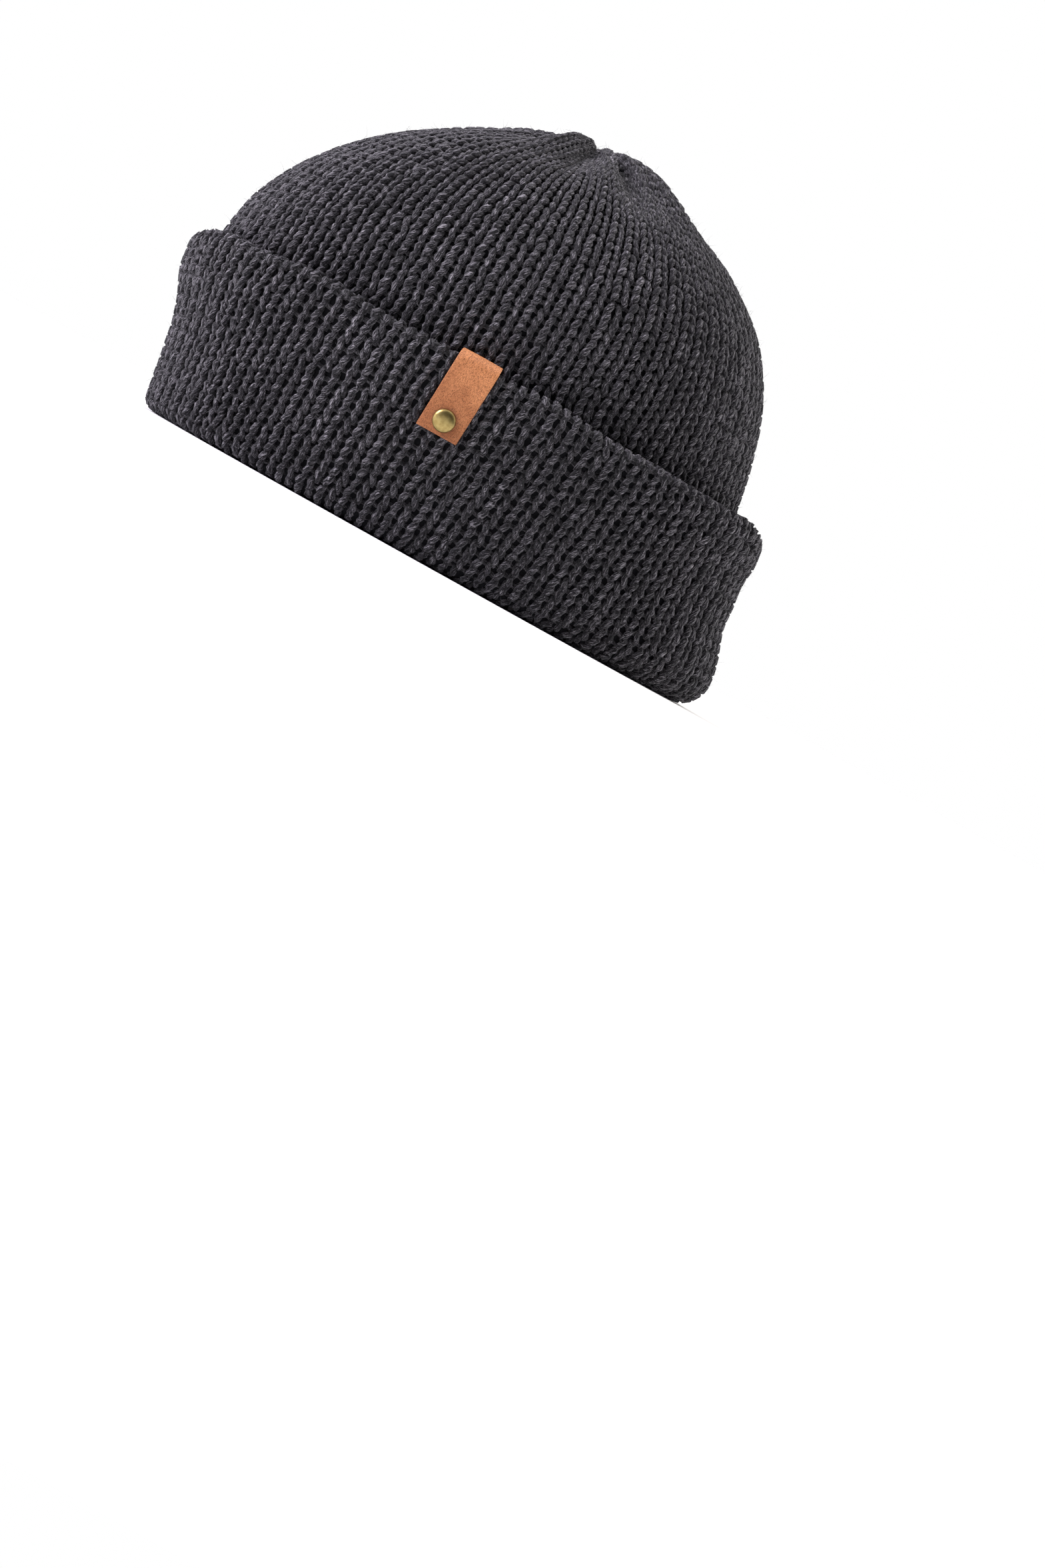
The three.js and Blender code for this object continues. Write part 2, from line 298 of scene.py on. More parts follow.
def equal_bearings(ring):
    steps = np.linalg.norm(np.roll(ring, -1, axis=0) - ring, axis=1)
    arc = np.concatenate(([0.0], np.cumsum(steps)))
    return arc / arc[-1] * wale_count, arc[-1]


cuff_ring = band_place(net_bearings, cuff_height / 2, knit_wall)
even_wales = equal_bearings(cuff_ring)[0]
closed_bearings = np.append(net_bearings, 2 * math.pi)


def soft_waves(rng, count, waves, reach):
    """Smooth uneven numbers round a ring, from a few sine waves."""
    turn = np.arange(count) * 2 * math.pi / count
    total = np.zeros(count)
    for wave in range(1, waves + 1):
        total += rng.normal(0, 1) * np.sin(wave * turn + rng.uniform(0, 2 * math.pi))
    return reach * total / math.sqrt(waves / 2)


def knit_rows(
    skin,
    arcs,
    stitch_steps,
    sides,
    warp_until=0.0,
    parallel=((0.0, 0.0), (1.0, 0.0)),
    drift=0.0,
    slack=1.0,
    thick=1.0,
    thinnest=0.5,
    bundle=1,
    climb=1.0,
    seed=knit_seed,
):
    """Points, yarn lengths and tones with painted loop shade, of one ring of yarn for each arc."""
    rng = np.random.default_rng(seed)
    ruffle = np.random.default_rng(knit_seed).normal(ruffle_middle, ruffle_uneven, wale_count)
    count = wale_count // bundle * stitch_steps
    phase = np.arange(count) * 2 * math.pi / stitch_steps
    points, lengths, tones_and_shade = [], [], []
    for arc in arcs:
        station = int(round(float(np.interp(arc, skin["arc"], np.arange(len(skin["arc"]))))))
        own_wales, girth = equal_bearings(skin["place"][station])
        wale_width = girth / wale_count
        warp = 1 - smooth_step(arc, warp_until * warp_full, warp_until) if warp_until else 0.0
        shift = rng.normal(0, wale_uneven, wale_count)
        lift = rng.normal(0, row_uneven, wale_count) + soft_waves(rng, wale_count, row_waves, row_wander)
        swell = rng.normal(1, yarn_uneven, 2 * wale_count)
        tone = rng.normal(1, tone_uneven, 2 * wale_count)
        stitch = bundle * phase / (2 * math.pi)
        loop = np.arange(wale_count + 1)
        wave_shift = np.interp(stitch, loop, np.append(shift, shift[0]))
        wave_lift = np.interp(stitch, loop, np.append(lift, lift[0]))
        half = np.arange(2 * wale_count + 1) / 2
        wave_swell = np.interp(stitch, half, np.append(swell, swell[0]))
        wave_tone = np.interp(stitch, half, np.append(tone, tone[0]))
        lean = bundle * (leg_spread * np.sin(2 * phase) + leg_straight * np.sin(4 * phase))
        wale = (stitch + lean + wave_shift + drift * arc) % wale_count
        even = np.interp(wale, even_wales, closed_bearings)
        own = np.interp(wale, own_wales, closed_bearings)
        bearing = even + warp * (own - even)
        bearing = bearing - np.interp(arc, *zip(*parallel)) * np.sin(2 * bearing)
        for middle, share, spread, fade in gather_table:
            away = (bearing - math.radians(middle) + math.pi) % (2 * math.pi) - math.pi
            near = np.exp(-((away / math.radians(crease_reach * spread)) ** 2))
            bearing = bearing - crease_pull * warp * share * away * near
        narrow = np.clip(bundle * wale_width / full_wale, thinnest, 1.0)
        rise = climb * (leg_rise + 0.5 * wave_lift)
        here = np.maximum(arc + wave_lift + rise * np.cos(phase), nearest_pole)
        place, out = on_skin(skin, here, bearing)
        radius = yarn_radius * thick * narrow * wave_swell
        radius = radius * (loop_bulk[0] - loop_bulk[1] * np.cos(2 * phase)) * (1 + leg_bulk * np.sin(phase))
        front = leg_front * slack * narrow
        twist = leg_twist * slack * narrow
        sink = front + yarn_radius * thick * narrow - proud
        fold = warp * np.interp(stitch, loop, np.append(ruffle, ruffle[0]))
        centre = place + out * (fold - front * np.cos(2 * phase) - twist * np.sin(phase) - sink)[:, None]
        along = np.roll(centre, -1, axis=0) - np.roll(centre, 1, axis=0)
        along /= np.linalg.norm(along, axis=1, keepdims=True)
        aside = np.cross(along, out)
        aside /= np.linalg.norm(aside, axis=1, keepdims=True)
        above = np.cross(aside, along)
        turn = np.arange(sides) * 2 * math.pi / sides
        spoke = aside[:, None] * (yarn_wide * np.cos(turn))[:, None]
        spoke = spoke + above[:, None] * (yarn_deep * np.sin(turn))[:, None]
        points.append(centre[:, None] + radius[:, None, None] * spoke)
        step = np.linalg.norm(np.roll(centre, -1, axis=0) - centre, axis=1)
        lengths.append(np.concatenate(([0.0], np.cumsum(step))))
        # Random tone times painted shade, darkest at the loop heads that bend back behind the legs
        tones_and_shade.append(np.repeat(wave_tone * (loop_painted_shade[0] - loop_painted_shade[1] * np.cos(2 * phase)), sides))
    return np.array(points), np.array(lengths), np.array(tones_and_shade)


# The yarn's map: one unit is 10 mm of yarn, and each row starts elsewhere on it
map_unit = 10
map_shift = 3.7


def knit_piece(name, points, lengths, tones_and_shade):
    """One mesh of closed yarn rings, with a map along and around the yarn."""
    rows, count, sides = points.shape[:3]
    row = np.arange(rows)[:, None, None] * count * sides
    here = np.arange(count)[None, :, None]
    side = np.arange(sides)[None, None, :]
    after, beside = (here + 1) % count, (side + 1) % sides
    corners = (row + here * sides + side, row + after * sides + side)
    corners += (row + after * sides + beside, row + here * sides + beside)
    corners = [np.broadcast_to(corner, (rows, count, sides)) for corner in corners]
    quads = np.stack(corners, -1).reshape(-1)
    u0 = np.broadcast_to(lengths[:, :-1, None], (rows, count, sides))
    u1 = np.broadcast_to(lengths[:, 1:, None], (rows, count, sides))
    v0 = np.broadcast_to(side / sides, (rows, count, sides))
    v1 = v0 + 1 / sides
    offset = np.arange(rows)[:, None, None] * map_shift
    u0, u1 = (u0 + offset) / map_unit, (u1 + offset) / map_unit
    uv = np.stack((u0, v0, u1, v0, u1, v1, u0, v1), -1).reshape(-1)
    mesh = bpy.data.meshes.new(name)
    mesh.vertices.add(rows * count * sides)
    mesh.vertices.foreach_set("co", (points.reshape(-1) * 0.001).astype(np.float32))
    mesh.loops.add(len(quads))
    mesh.loops.foreach_set("vertex_index", quads.astype(np.int32))
    mesh.polygons.add(len(quads) // 4)
    mesh.polygons.foreach_set("loop_start", np.arange(0, len(quads), 4, dtype=np.int32))
    mesh.update(calc_edges=True)
    mesh.polygons.foreach_set("use_smooth", np.ones(len(quads) // 4, dtype=bool))
    mesh.uv_layers.new(name="yarn").data.foreach_set("uv", uv.astype(np.float32))
    # The tone attribute holds the yarn's random tone and the painted shade of its loops
    shade = mesh.attributes.new("tone", "FLOAT", "POINT")
    shade.data.foreach_set("value", tones_and_shade.reshape(-1).astype(np.float32))
    mesh.validate()
    piece = bpy.data.objects.new(name, mesh)
    bpy.context.scene.collection.objects.link(piece)
    return piece


def add_socket(group, name, kind, way, value=None):
    made = group.interface.new_socket(name=name, in_out=way, socket_type=kind)
    if value is not None:
        made.default_value = value


# Twisted plies and mixed fibres of the heather yarn, from its own map
yarn_group = bpy.data.node_groups.new("heather_yarn", "ShaderNodeTree")
add_socket(yarn_group, "Dark", "NodeSocketColor", "INPUT", (0.02, 0.02, 0.022, 1))
add_socket(yarn_group, "Middle", "NodeSocketColor", "INPUT", (0.05, 0.05, 0.055, 1))
add_socket(yarn_group, "Light", "NodeSocketColor", "INPUT", (0.2, 0.2, 0.21, 1))
add_socket(yarn_group, "Color", "NodeSocketColor", "OUTPUT")
add_socket(yarn_group, "Height", "NodeSocketFloat", "OUTPUT")
nodes, links = yarn_group.nodes, yarn_group.links
group_in = nodes.new("NodeGroupInput")
group_out = nodes.new("NodeGroupOutput")
yarn_map = nodes.new("ShaderNodeUVMap")
yarn_map.uv_map = "yarn"
split = nodes.new("ShaderNodeSeparateXYZ")
links.new(yarn_map.outputs["UV"], split.inputs[0])


def math_node(tree, operation, first, second):
    made = tree.nodes.new("ShaderNodeMath")
    made.operation = operation
    for place, value in ((0, first), (1, second)):
        if isinstance(value, (int, float)):
            made.inputs[place].default_value = value
        elif value is not None:
            tree.links.new(value, made.inputs[place])
    return made.outputs[0]


# Turns of the plies in one unit of the map, their number, and the fibres' spread
# round and along the yarn in the noise's own units
ply_twist = 0.65
ply_count = 3.0
fibres_round = 2.6
fibres_along = 5.5
ply_turns = math_node(yarn_group, "MULTIPLY", split.outputs["X"], ply_twist)
twisted = math_node(yarn_group, "ADD", split.outputs["Y"], ply_turns)
angle = math_node(yarn_group, "MULTIPLY", twisted, 2 * math.pi)
around_x = math_node(yarn_group, "MULTIPLY", math_node(yarn_group, "COSINE", angle, None), fibres_round)
around_y = math_node(yarn_group, "MULTIPLY", math_node(yarn_group, "SINE", angle, None), fibres_round)
along_yarn = math_node(yarn_group, "MULTIPLY", split.outputs["X"], fibres_along)
fibre_place = nodes.new("ShaderNodeCombineXYZ")
links.new(along_yarn, fibre_place.inputs["X"])
links.new(around_x, fibre_place.inputs["Y"])
links.new(around_y, fibre_place.inputs["Z"])
fibres = nodes.new("ShaderNodeTexNoise")
fibres.inputs["Scale"].default_value = 1.9
fibres.inputs["Detail"].default_value = 3.0
fibres.inputs["Roughness"].default_value = 0.62
fibres.inputs["Distortion"].default_value = 0.7
links.new(fibre_place.outputs[0], fibres.inputs["Vector"])
locks = nodes.new("ShaderNodeTexNoise")
locks.inputs["Scale"].default_value = 0.75
locks.inputs["Detail"].default_value = 1.0
links.new(fibre_place.outputs[0], locks.inputs["Vector"])
fibre_part = 0.7
lock_part = 0.3
fibre_share = math_node(yarn_group, "MULTIPLY", fibres.outputs["Fac"], fibre_part)
lock_share = math_node(yarn_group, "MULTIPLY", locks.outputs["Fac"], lock_part)
heather = math_node(yarn_group, "ADD", fibre_share, lock_share)
fibre_ramp = nodes.new("ShaderNodeMapRange")
fibre_ramp.inputs["From Min"].default_value = 0.42
fibre_ramp.inputs["From Max"].default_value = 0.54
links.new(heather, fibre_ramp.inputs["Value"])
first_mix = nodes.new("ShaderNodeMix")
first_mix.data_type = "RGBA"
links.new(fibre_ramp.outputs[0], first_mix.inputs["Factor"])
links.new(group_in.outputs["Dark"], first_mix.inputs["A"])
links.new(group_in.outputs["Middle"], first_mix.inputs["B"])
light_ramp = nodes.new("ShaderNodeMapRange")
light_ramp.inputs["From Min"].default_value = 0.52
light_ramp.inputs["From Max"].default_value = 0.61
links.new(heather, light_ramp.inputs["Value"])
second_mix = nodes.new("ShaderNodeMix")
second_mix.data_type = "RGBA"
links.new(light_ramp.outputs[0], second_mix.inputs["Factor"])
links.new(first_mix.outputs["Result"], second_mix.inputs["A"])
links.new(group_in.outputs["Light"], second_mix.inputs["B"])
# The colour is multiplied by the tone attribute: random tone and painted shade of the loops
tone_and_shade_attribute = nodes.new("ShaderNodeAttribute")
tone_and_shade_attribute.attribute_name = "tone"
tone_and_shade_mix = nodes.new("ShaderNodeMix")
tone_and_shade_mix.data_type = "RGBA"
tone_and_shade_mix.blend_type = "MULTIPLY"
tone_and_shade_mix.inputs["Factor"].default_value = 1.0
links.new(second_mix.outputs["Result"], tone_and_shade_mix.inputs["A"])
links.new(tone_and_shade_attribute.outputs["Fac"], tone_and_shade_mix.inputs["B"])
links.new(tone_and_shade_mix.outputs["Result"], group_out.inputs["Color"])
ply_relief = 0.14
fibre_relief = 1.3
ply_wave = math_node(yarn_group, "SINE", math_node(yarn_group, "MULTIPLY", angle, ply_count), None)
ply_height = math_node(yarn_group, "MULTIPLY", ply_wave, ply_relief)
fibre_height = math_node(yarn_group, "MULTIPLY", heather, fibre_relief)
links.new(math_node(yarn_group, "ADD", ply_height, fibre_height), group_out.inputs["Height"])


# Charcoal heather: dark, middle and pale fibres spun together, with a soft nap
charcoal_yarn = bpy.data.materials.new("charcoal_heather_yarn")
charcoal_yarn.use_nodes = True
yarn_tree = charcoal_yarn.node_tree
yarn_shader = yarn_tree.nodes["Principled BSDF"]
yarn_shader.inputs["Roughness"].default_value = 0.9
yarn_shader.inputs["Specular IOR Level"].default_value = 0.2
yarn_shader.inputs["Sheen Weight"].default_value = 0.28
yarn_shader.inputs["Sheen Roughness"].default_value = 0.45
yarn_shader.inputs["Sheen Tint"].default_value = (0.62, 0.62, 0.66, 1)
yarn_look = yarn_tree.nodes.new("ShaderNodeGroup")
yarn_look.node_tree = yarn_group
yarn_look.inputs["Dark"].default_value = (0.0044, 0.0039, 0.0053, 1)
yarn_look.inputs["Middle"].default_value = (0.0152, 0.0138, 0.0176, 1)
yarn_look.inputs["Light"].default_value = (0.268, 0.253, 0.28, 1)
yarn_relief = yarn_tree.nodes.new("ShaderNodeBump")
yarn_relief.inputs["Strength"].default_value = 1.0
yarn_relief.inputs["Distance"].default_value = 0.0005
yarn_tree.links.new(yarn_look.outputs["Color"], yarn_shader.inputs["Base Color"])
yarn_tree.links.new(yarn_look.outputs["Height"], yarn_relief.inputs["Height"])
yarn_tree.links.new(yarn_relief.outputs["Normal"], yarn_shader.inputs["Normal"])

# Rows of the crown by their distance from the pole. Near it the wales are drawn
# together, down to gather_until, and lower they run more nearly side by side:
# distance from the pole, turn of the wales in radians
first_row = 5.2
last_row_up = 3.0
gather_until = 62.0
parallel = [(0.0, 0.0), (30.0, 0.02), (65.0, 0.085), (100.0, 0.07), (135.0, 0.015), (160.0, 0.0)]
crown_arcs = np.arange(first_row, crown_skin["arc"][-1] - last_row_up, row_pitch)

# Name, rows, steps in a stitch, sides of the yarn, wales in a bundle, climb
crown_groups = [
    ("crown_knit_centre", np.array([1.0, 2.6, 4.0]), 12, 6, 7, 0.4),
    ("crown_knit_gather", crown_arcs[:13], 10, 5, 1, 1.0),
    ("crown_knit_dome", crown_arcs[13:29], 10, 6, 1, 1.0),
    ("crown_knit_brow", crown_arcs[29:], 10, 6, 1, 1.0),
]
shown_yarns = []
for order, (name, arcs, stitch_steps, sides, bundle, climb) in enumerate(crown_groups):
    rows = knit_rows(
        crown_skin,
        arcs,
        stitch_steps,
        sides,
        warp_until=gather_until,
        parallel=parallel,
        thinnest=0.8,
        bundle=bundle,
        climb=climb,
        seed=knit_seed + order,
    )
    shown_yarns.append(rows[0])
    crown_piece = knit_piece(name, *rows)
    crown_piece.data.materials.append(charcoal_yarn)
    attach(crown_piece, "root")
    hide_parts("crown")

# Cuff and lining. The same doubled tube is turned up outside as the cuff: it
# rolls over the cuff's top edge, runs down its outside, under the foot that the
# cap rests on, and up again as the lining to the gather.

bottom_round = 5.0
tab_bearing = math.radians(93)
standoff_front = 2.4
standoff_back = 7.4
standoff_side = 3.7
drop_front = 6.5
drop_back = 3.2
drop_bearing = 34.0

# The top edge waves a little, but lies straight under the tab: waves, reach, turn
edge_waves = [(7, 0.8, 0.6), (13, 0.5, 2)]
straight_bearing = math.radians(11)

# How much of its full standoff the cuff has: rise, front, side and back shares
standoff_table = [
    (0.0, 0.25, 0.25, 0.3),
    (0.15, 0.3, 0.45, 0.4),
    (0.4, 0.62, 0.82, 0.46),
    (0.62, 0.85, 1.0, 0.68),
    (0.85, 1.0, 1.0, 1.0),
    (1.0, 0.92, 1.0, 0.98),
]
standoff_at = [smooth_line(standoff_table, column) for column in (1, 2, 3)]


def cuff_place(bearing, height, share, out):
    straight = np.minimum(height, cuff_height - knit_wall / 2)
    front, side, back = [line(straight / cuff_height) for line in standoff_at]
    standoff = mix_by_bearing(bearing, standoff_front * front, standoff_side * side, standoff_back * back)
    place = band_place(bearing, straight, share * standoff + out)
    along = np.cos(bearing)
    away = np.degrees(np.arccos(np.minimum(np.abs(along), 1)))
    drop = np.where(along > 0, drop_front, drop_back) * (1 - smooth_step(away, 0, drop_bearing))
    wave = sum(reach * np.sin(waves * bearing + turn) for waves, reach, turn in edge_waves)
    wave = wave * (1 - np.exp(-(((bearing - tab_bearing) / straight_bearing) ** 2)))
    place[..., 2] = height + (wave - drop) * smooth_step(height, cuff_height / 2, cuff_height)
    return place


edge_radius = knit_wall / 2
shoulder = cuff_height - edge_radius
cuff_shown_from = 54.0
quarter_turn = np.linspace(0, math.pi / 2, 14)

# Up the cuff's inside, over its top edge, down its outside, under the foot and
# up the cap's inside to the pole
cuff_lines = [
    cuff_place(net_bearings, height, 1, 0) for height in np.arange(cuff_shown_from, shoulder, net_step)
]
cuff_lines += [
    cuff_place(
        net_bearings, shoulder + edge_radius * math.sin(turn), 1, edge_radius * (1 - math.cos(turn))
    )
    for turn in np.linspace(0, math.pi, 22)
]
cuff_lines += [
    cuff_place(net_bearings, height, 1, knit_wall)
    for height in np.arange(shoulder - net_step, bottom_round, -net_step)
]
cuff_lines += [
    cuff_place(
        net_bearings,
        bottom_round * (1 - math.sin(turn)),
        1,
        knit_wall - bottom_round * (1 - math.cos(turn)),
    )
    for turn in quarter_turn
]
cuff_lines += [
    cuff_place(
        net_bearings,
        bottom_round * (1 - math.cos(turn)),
        0,
        -knit_wall + bottom_round * (1 - math.sin(turn)),
    )
    for turn in quarter_turn
]
cuff_lines += [
    band_place(net_bearings, height, -knit_wall)
    for height in np.arange(bottom_round + net_step, cuff_height, net_step)
]
cuff_lines += [dome_place(net_bearings, run, knit_wall) for run in np.linspace(0, 1, 200)]
cuff_skin = make_skin(cuff_lines)

# Rows by their distance along the skin, and the wales' drift in wales a mm
cuff_first_row = 4.0
cuff_last_row_up = 8.0
cuff_arcs = np.arange(cuff_first_row, cuff_skin["arc"][-1] - cuff_last_row_up, row_pitch)
cuff_drift = -0.0112
shown_rows = 24

# The lowest loops are pressed flat just above what the cap stands on
foot_clearance = 0.05

# Name, rows, steps in a stitch, sides, slack, thickness, the solid it stands for
cuff_groups = [
    ("cuff_knit_edge", cuff_arcs[:12], 10, 6, 1.0, 1.0, "cuff"),
    ("cuff_knit_face", cuff_arcs[12:shown_rows], 10, 6, 1.0, 1.0, "cuff"),
    ("lining_knit_low", cuff_arcs[shown_rows : shown_rows + 27], 8, 3, 0.75, 0.95, "crown"),
    ("lining_knit_top", cuff_arcs[shown_rows + 27 :], 8, 3, 0.75, 0.95, "crown"),
]
for order, (name, arcs, stitch_steps, sides, slack, thick, stands_for) in enumerate(cuff_groups):
    points, lengths, tones_and_shade = knit_rows(
        cuff_skin,
        arcs,
        stitch_steps,
        sides,
        drift=cuff_drift,
        slack=slack,
        thick=thick,
        seed=knit_seed + 20 + order,
    )
    points[..., 2] = np.maximum(points[..., 2], foot_clearance)
    if stands_for == "cuff":
        shown_yarns.append(points)
    cuff_piece = knit_piece(name, points, lengths, tones_and_shade)
    cuff_piece.data.materials.append(charcoal_yarn)
    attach(cuff_piece, "root")
    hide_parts(stands_for)

# Fuzz. Short wool fibres stand off the yarn all over the outside, most of them
# lying along it, and soften the cap's edge. Each is a thin tapering hair.

hair_chance = 0.84
hair_radius = 0.045
hair_taper = 0.65
hair_steps = 4
hair_sides = 3

# Each is the range that a hair's own value is drawn from: length, then slopes
hair_length = (1.2, 4.0)
hair_rise = (0.1, 0.8)
hair_sway = (-0.8, 0.8)
hair_hook = (-0.6, 0.1)
fuzz_rng = np.random.default_rng(5)
hair_corners, hair_faces = [], []
for yarn in shown_yarns:
    middle = yarn.mean(axis=2)
    rows, count, sides = yarn.shape[:3]
    chosen = fuzz_rng.random((rows, count)) < hair_chance * 2 * wale_count / count
    for row, place in np.argwhere(chosen):
        root = middle[row, place]
        outward = yarn[row, place, fuzz_rng.integers(1, 3)] - root
        thick = np.linalg.norm(outward)
        outward = outward / thick
        onward = middle[row, (place + 1) % count] - root
        onward = onward / np.linalg.norm(onward) * fuzz_rng.choice((-1.0, 1.0))
        aside = np.cross(outward, onward)
        reach = fuzz_rng.uniform(*hair_length)
        rise = fuzz_rng.uniform(*hair_rise)
        sway = fuzz_rng.uniform(*hair_sway)
        hook = fuzz_rng.uniform(*hair_hook)
        share = np.linspace(0, 1, hair_steps)[:, None]
        line = root + outward * (0.8 * thick + reach * (rise * share + hook * rise * share**2))
        line = line + onward * reach * share * (1 - 0.3 * share) + aside * reach * sway * share**1.6
        first = len(hair_corners)
        for step in range(hair_steps):
            radius = hair_radius * (1 - hair_taper * step / (hair_steps - 1))
            for side in range(hair_sides):
                turn = 2 * math.pi * side / hair_sides
                spoke = math.cos(turn) * outward + math.sin(turn) * aside
                hair_corners.append(line[step] + radius * spoke)
        for step in range(hair_steps - 1):
            here = first + hair_sides * step
            after = here + hair_sides
            for side in range(hair_sides):
                beside = (side + 1) % hair_sides
                hair_faces.append((here + side, here + beside, after + beside, after + side))
        last = first + hair_sides * (hair_steps - 1)
        hair_faces.append(tuple(first + side for side in reversed(range(hair_sides))))
        hair_faces.append(tuple(last + side for side in range(hair_sides)))
hair_corners = np.array(hair_corners)
hair_corners[:, 2] = np.maximum(hair_corners[:, 2], foot_clearance)
hair_mesh = bpy.data.meshes.new("wool_fuzz")
hair_mesh.from_pydata((hair_corners * 0.001).tolist(), [], hair_faces)
hair_mesh.validate()
wool_fuzz = bpy.data.objects.new("wool_fuzz", hair_mesh)
bpy.context.scene.collection.objects.link(wool_fuzz)
fibre_material = bpy.data.materials.new("grey_wool_fibre")
fibre_material.use_nodes = True
fibre_tree = fibre_material.node_tree
fibre_shader = fibre_tree.nodes["Principled BSDF"]
fibre_shader.inputs["Roughness"].default_value = 0.8
fibre_shader.inputs["Specular IOR Level"].default_value = 0.2
fibre_coords = fibre_tree.nodes.new("ShaderNodeTexCoord")
fibre_noise = fibre_tree.nodes.new("ShaderNodeTexNoise")
fibre_noise.inputs["Scale"].default_value = 260
fibre_tree.links.new(fibre_coords.outputs["Object"], fibre_noise.inputs["Vector"])
fibre_colors = fibre_tree.nodes.new("ShaderNodeValToRGB")
fibre_colors.color_ramp.elements[0].position = 0.42
fibre_colors.color_ramp.elements[0].color = (0.03, 0.029, 0.032, 1)
fibre_colors.color_ramp.elements[1].position = 0.62
fibre_colors.color_ramp.elements[1].color = (0.34, 0.33, 0.345, 1)
fibre_tree.links.new(fibre_noise.outputs["Fac"], fibre_colors.inputs["Fac"])
fibre_tree.links.new(fibre_colors.outputs["Color"], fibre_shader.inputs["Base Color"])
wool_fuzz.data.materials.append(fibre_material)
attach(wool_fuzz, "root")
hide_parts("crown", "cuff")

# Heart of the wall. A near-black sheet between the two layers of stitches closes the gaps, and its dark is
# painted shade that shows in the gaps between the stitches.
# It is one closed shell that follows the crown, the turned-up cuff and the foot.

core_bearings = np.linspace(0, 2 * math.pi, 120, endpoint=False)

# Where the shell's two faces lie in the thickness of the wall, and the height
# where it forks between the crown and the cuff, with the cuff's standoff there
core_outer = 3.0
core_inner = 3.7
fork_height = 14.0
fork_rows = [(fork_height, 0.6), *[(height, 1.0) for height in np.linspace(18, shoulder, 14)]]

# Under the foot: height, share of the cuff's standoff, distance out
foot_rows = [
    (3.2, 0.95, 4.0),
    (1.6, 0.8, 2.6),
    (1.1, 0.6, 1.2),
    (1.1, 0.3, -1.2),
    (1.6, 0.1, -2.8),
    (3.2, 0.0, -3.6),
]
core_lines = [dome_place(core_bearings, run, core_outer) for run in np.linspace(1, 0, 40)]
core_lines += [
    band_place(core_bearings, height, -core_outer)
    for height in np.linspace(cuff_height - 3, fork_height, 14)
]
core_lines += [cuff_place(core_bearings, height, share, core_outer) for height, share in fork_rows]
core_lines += [
    cuff_place(core_bearings, height, 1, core_inner) for height in np.linspace(shoulder, 6, 16)
]
core_lines += [cuff_place(core_bearings, height, share, out) for height, share, out in foot_rows]
core_lines += [
    band_place(core_bearings, height, -core_inner) for height in np.linspace(5, cuff_height - 3, 16)
]
core_lines += [dome_place(core_bearings, run, core_inner) for run in np.linspace(0, 1, 40)]
core_points = np.stack(core_lines)
core_rows, core_count = core_points.shape[:2]
core_row, core_column = np.meshgrid(np.arange(core_rows - 1), np.arange(core_count), indexing="ij")
beside = (core_column + 1) % core_count
core_quads = np.stack(
    (
        core_row * core_count + core_column,
        (core_row + 1) * core_count + core_column,
        (core_row + 1) * core_count + beside,
        core_row * core_count + beside,
    ),
    -1,
)
core_mesh = bpy.data.meshes.new("gap_shade_shell")
core_corners = core_points.reshape(-1, 3) * 0.001
core_mesh.from_pydata(core_corners.tolist(), [], core_quads.reshape(-1, 4).tolist())
core_mesh.validate()
gap_shade_shell = bpy.data.objects.new("gap_shade_shell", core_mesh)
bpy.context.scene.collection.objects.link(gap_shade_shell)
bpy.ops.object.select_all(action="DESELECT")
bpy.context.view_layer.objects.active = gap_shade_shell
gap_shade_shell.select_set(True)
bpy.ops.object.mode_set(mode="EDIT")
bpy.ops.mesh.select_all(action="SELECT")
bpy.ops.mesh.remove_doubles(threshold=0.00002)
bpy.ops.object.mode_set(mode="OBJECT")
bpy.ops.object.shade_smooth()
gap_shade_paint = bpy.data.materials.new("painted_gap_shade")
gap_shade_paint.use_nodes = True
heart_tree = gap_shade_paint.node_tree
heart_shader = heart_tree.nodes["Principled BSDF"]
heart_shader.inputs["Roughness"].default_value = 1.0
heart_shader.inputs["Specular IOR Level"].default_value = 0.05
heart_coords = heart_tree.nodes.new("ShaderNodeTexCoord")
heart_noise = heart_tree.nodes.new("ShaderNodeTexNoise")
heart_noise.inputs["Scale"].default_value = 700
# Near-black painted shade, which shows in the gaps between the stitches
gap_shade_colors = heart_tree.nodes.new("ShaderNodeMix")
gap_shade_colors.data_type = "RGBA"
gap_shade_colors.inputs["A"].default_value = (0.004, 0.004, 0.005, 1)
gap_shade_colors.inputs["B"].default_value = (0.014, 0.014, 0.016, 1)
heart_tree.links.new(heart_coords.outputs["Object"], heart_noise.inputs["Vector"])
heart_tree.links.new(heart_noise.outputs["Fac"], gap_shade_colors.inputs["Factor"])
heart_tree.links.new(gap_shade_colors.outputs["Result"], heart_shader.inputs["Base Color"])
gap_shade_shell.data.materials.append(gap_shade_paint)
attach(gap_shade_shell, "root")
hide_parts("crown", "cuff")

# Leather tab. A strip of tan leather 15 mm wide, cut square, folded over the
# cuff's top edge on the wearer's left and held by one rivet. It is bare.

leather = 1.3
tab_width = 15.0
tab_length = 30.0
tab_lean = math.radians(3)
tab_edge_round = 0.22
tab_cuts_along = 93
tab_cuts_across = 11
rivet_from_end = 5.2
clearance = 0.3
rivet_along = tab_length - rivet_from_end


def cuff_face(bearing, along):
    quarter_arc = edge_radius * math.pi / 2
    angle = np.clip(along / edge_radius, -math.pi / 2, math.pi / 2)
    beyond = np.maximum(np.abs(along) - quarter_arc, 0)
    height = shoulder + edge_radius * np.cos(angle) - beyond
    return cuff_place(bearing, height, 1, edge_radius * (1 + np.sin(angle)))


